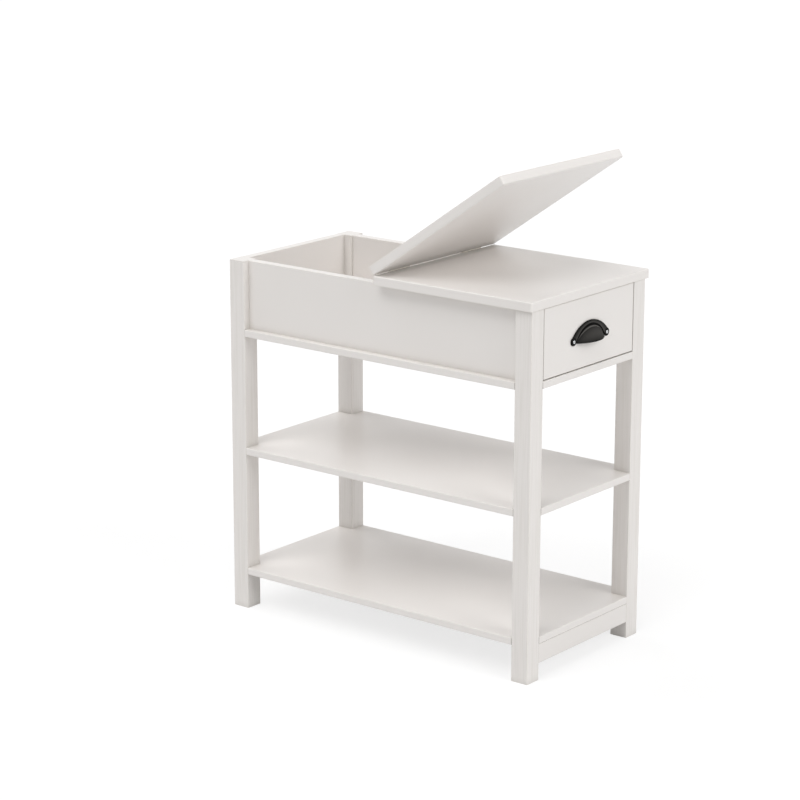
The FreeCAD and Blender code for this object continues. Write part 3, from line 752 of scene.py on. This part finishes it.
bm = bmesh.new()
wear_and_highlight = bm.verts.layers.float.new("wear_and_highlight")
sections = []
for station in range(STATIONS + 1):
    sections.append([])
    for point, wear_and_highlight_share in pull_section(2 * station / STATIONS - 1):
        vert = bm.verts.new((point.x, pull_high.y - point.y, LIP_Z + point.z))
        vert[wear_and_highlight] = wear_and_highlight_share
        sections[-1].append(vert)
for one, two in zip(sections, sections[1:]):
    for i in range(len(one)):
        bm.faces.new((one[i], one[i - 1], two[i - 1], two[i]))
for vert in bm.verts:
    vert.tag = True
ear = [(HOLE_RADIUS, 0), (EAR_RADIUS, 0), (EAR_RADIUS, EAR_RISE - EDGE_ROUND),
       (EAR_RADIUS - ROUND_CUT, EAR_RISE - ROUND_CUT), (EAR_RADIUS - EDGE_ROUND, EAR_RISE),
       (HOLE_RADIUS, EAR_RISE)]
facing_front = Matrix.Rotation(math.radians(90), 4, "X")
for side in (-1, 1):
    turned(bm, ear, Matrix.Translation((side * EAR_X, pull_high.y, SCREW_Z)) @ facing_front)
cup = to_piece(bm, "cup_pull_casting", powder)
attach(cup, "drawer")
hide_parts("cup_pull")
print(cup.name, len(cup.data.polygons), "faces")

# %% [markdown]
# ## Screws
# The pull's two pan-head screws show as bright dots, and each hinge leaf has two flush ones. A head is
# turned from its profile like on a lathe; the cross recess is cut with a boolean, because its walls are
# crisp. The cutter is two tapered bars, and it is thrown away once the cut mesh has been read back.

# %% Cross-head screws
RECESS_TAPER = 0.6


def cross_head(profile, arm, width, depth):
    """The mesh of a screw head turned from its profile, with a cross recess cut into its top."""
    bm = bmesh.new()
    turned(bm, profile, Matrix.Identity(4))
    head = to_piece(bm, "screw_head", zinc)
    top = max(height for _, height in profile)
    bm = bmesh.new()
    for quarter in (0, 90):
        bar = bmesh.ops.create_cube(bm, size=1)["verts"]
        for vert in bar:
            x, y, z = vert.co
            taper = 1.0 if z > 0 else RECESS_TAPER
            vert.co = Vector((x * 2 * arm * taper, y * width * taper, z * 2 * depth + top))
        crossed = Matrix.Rotation(math.radians(quarter), 3, "Z")
        bmesh.ops.rotate(bm, cent=(0, 0, 0), matrix=crossed, verts=bar)
    cutter = to_piece(bm, "recess_cutter", zinc)
    cut = head.modifiers.new("recess", "BOOLEAN")
    cut.object = cutter
    cut.solver = "EXACT"
    cut.use_self = True
    made = bpy.data.meshes.new_from_object(head.evaluated_get(bpy.context.evaluated_depsgraph_get()))
    bpy.data.objects.remove(head)
    bpy.data.objects.remove(cutter)
    return made


def set_screws(name, mesh, places, body):
    """One piece made of copies of a head mesh at each place, riding on a body."""
    bm = bmesh.new()
    for place in places:
        start = len(bm.verts)
        bm.from_mesh(mesh)
        bm.verts.ensure_lookup_table()
        bmesh.ops.transform(bm, matrix=place, verts=bm.verts[start:])
    piece = to_piece(bm, name, zinc)
    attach(piece, body)
    return piece


print("recess narrows to", RECESS_TAPER, "of its mouth")

# %% Screws of the pull
RISE = 1.2 * MM
SHANK, BITE = 1.7 * MM, 12 * MM + FLANGE
# The crown's profile from its rim to its middle, as shares of the head's radius and of its rise.
PAN_CROWN = ((1.0, 0.35), (0.93, 0.68), (0.72, 0.92), (0.4, 1.0), (0.0, 1.0))
PAN_RECESS = {"arm": 1.5 * MM, "width": 0.6 * MM, "depth": 0.8 * MM}
# Nobody lines up the recesses: the left and the right screw stopped at these turns, in degrees.
STOPPED_AT = {-1: 20, 1: 65}

pan = [(0, -BITE), (SHANK * 0.5, -BITE + SHANK), (SHANK, -BITE + 3 * SHANK), (SHANK, 0), (HEAD_RADIUS, 0)]
pan += [(HEAD_RADIUS * out, RISE * up) for out, up in PAN_CROWN]
pan_head = cross_head(pan, **PAN_RECESS)
seats = []
for side, stopped in STOPPED_AT.items():
    seat = Matrix.Translation((side * EAR_X, pull_high.y - FLANGE, SCREW_Z))
    seats.append(seat @ facing_front @ Matrix.Rotation(math.radians(stopped), 4, "Z"))
pull_screws = set_screws("pull_screw_heads", pan_head, seats, "drawer")
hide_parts("pull_screws")
print(pull_screws.name, len(pull_screws.data.polygons), "faces")

# %% [markdown]
# ### Hinge screws
# Each hinge leaf has two flat heads that stand only a hair off its face. The lid's pair could be set by
# eye on the raised lid. It is simpler to set both pairs for a closed lid, where the two leaves face each
# other, and then to turn the lid's pair open about the hinge's own axis.

# %% Hinge screws
FLAT_RADIUS, FLAT_RISE = 2.1 * MM, 0.22 * MM
FLAT_CROWN = ((1.0, 0.4), (0.93, 1.0), (0.0, 1.0))
FLAT_RECESS = {"arm": 1.3 * MM, "width": 0.5 * MM, "depth": 0.16 * MM}
# Places on a leaf: how far apart the screws are, how far above its foot, and how far its face is from the
# axis.
SCREW_APART, SCREW_UP, FACE_GAP = 32 * MM, 5.0 * MM, 0.3 * MM
SCREW_SPIN = 0.5

flat = [(0, 0), (FLAT_RADIUS, 0)] + [(FLAT_RADIUS * out, FLAT_RISE * up) for out, up in FLAT_CROWN]
flat_head = cross_head(flat, **FLAT_RECESS)
hinge = next(joint for joint in frame["joints"] if joint["name"] == "lid_hinge")
axis_point = Vector(hinge["pos_m"])
opened = math.radians(-hinge["range_deg"][0])
lid_turn = (Matrix.Translation(axis_point) @ Matrix.Rotation(opened, 4, "X")
            @ Matrix.Translation(-axis_point))
facing_back = Matrix.Rotation(math.radians(-90), 4, "X")
# Each leaf: its body, the side of the axis its face is on, where that face looks, and how it is turned
# open.
LEAVES = {
    "top": ("frame", -1, facing_back, Matrix.Identity(4)),
    "lid": ("lid", 1, facing_front, lid_turn),
}

for hand in ("left", "right"):
    leaf_low, leaf_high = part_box(f"{hand}_hinge_top_leaf")
    middle_x = (leaf_low.x + leaf_high.x) / 2
    for leaf, (body, side, facing, carried) in LEAVES.items():
        places = []
        for end in (-1, 1):
            spot = Matrix.Translation((middle_x + end * SCREW_APART / 2, axis_point.y + side * FACE_GAP,
                                       leaf_low.z + SCREW_UP))
            places.append(carried @ spot @ facing @ Matrix.Rotation(end * SCREW_SPIN, 4, "Z"))
        piece = set_screws(f"{hand}_hinge_{leaf}_screws", flat_head, places, body)
        print(piece.name, "on", body)
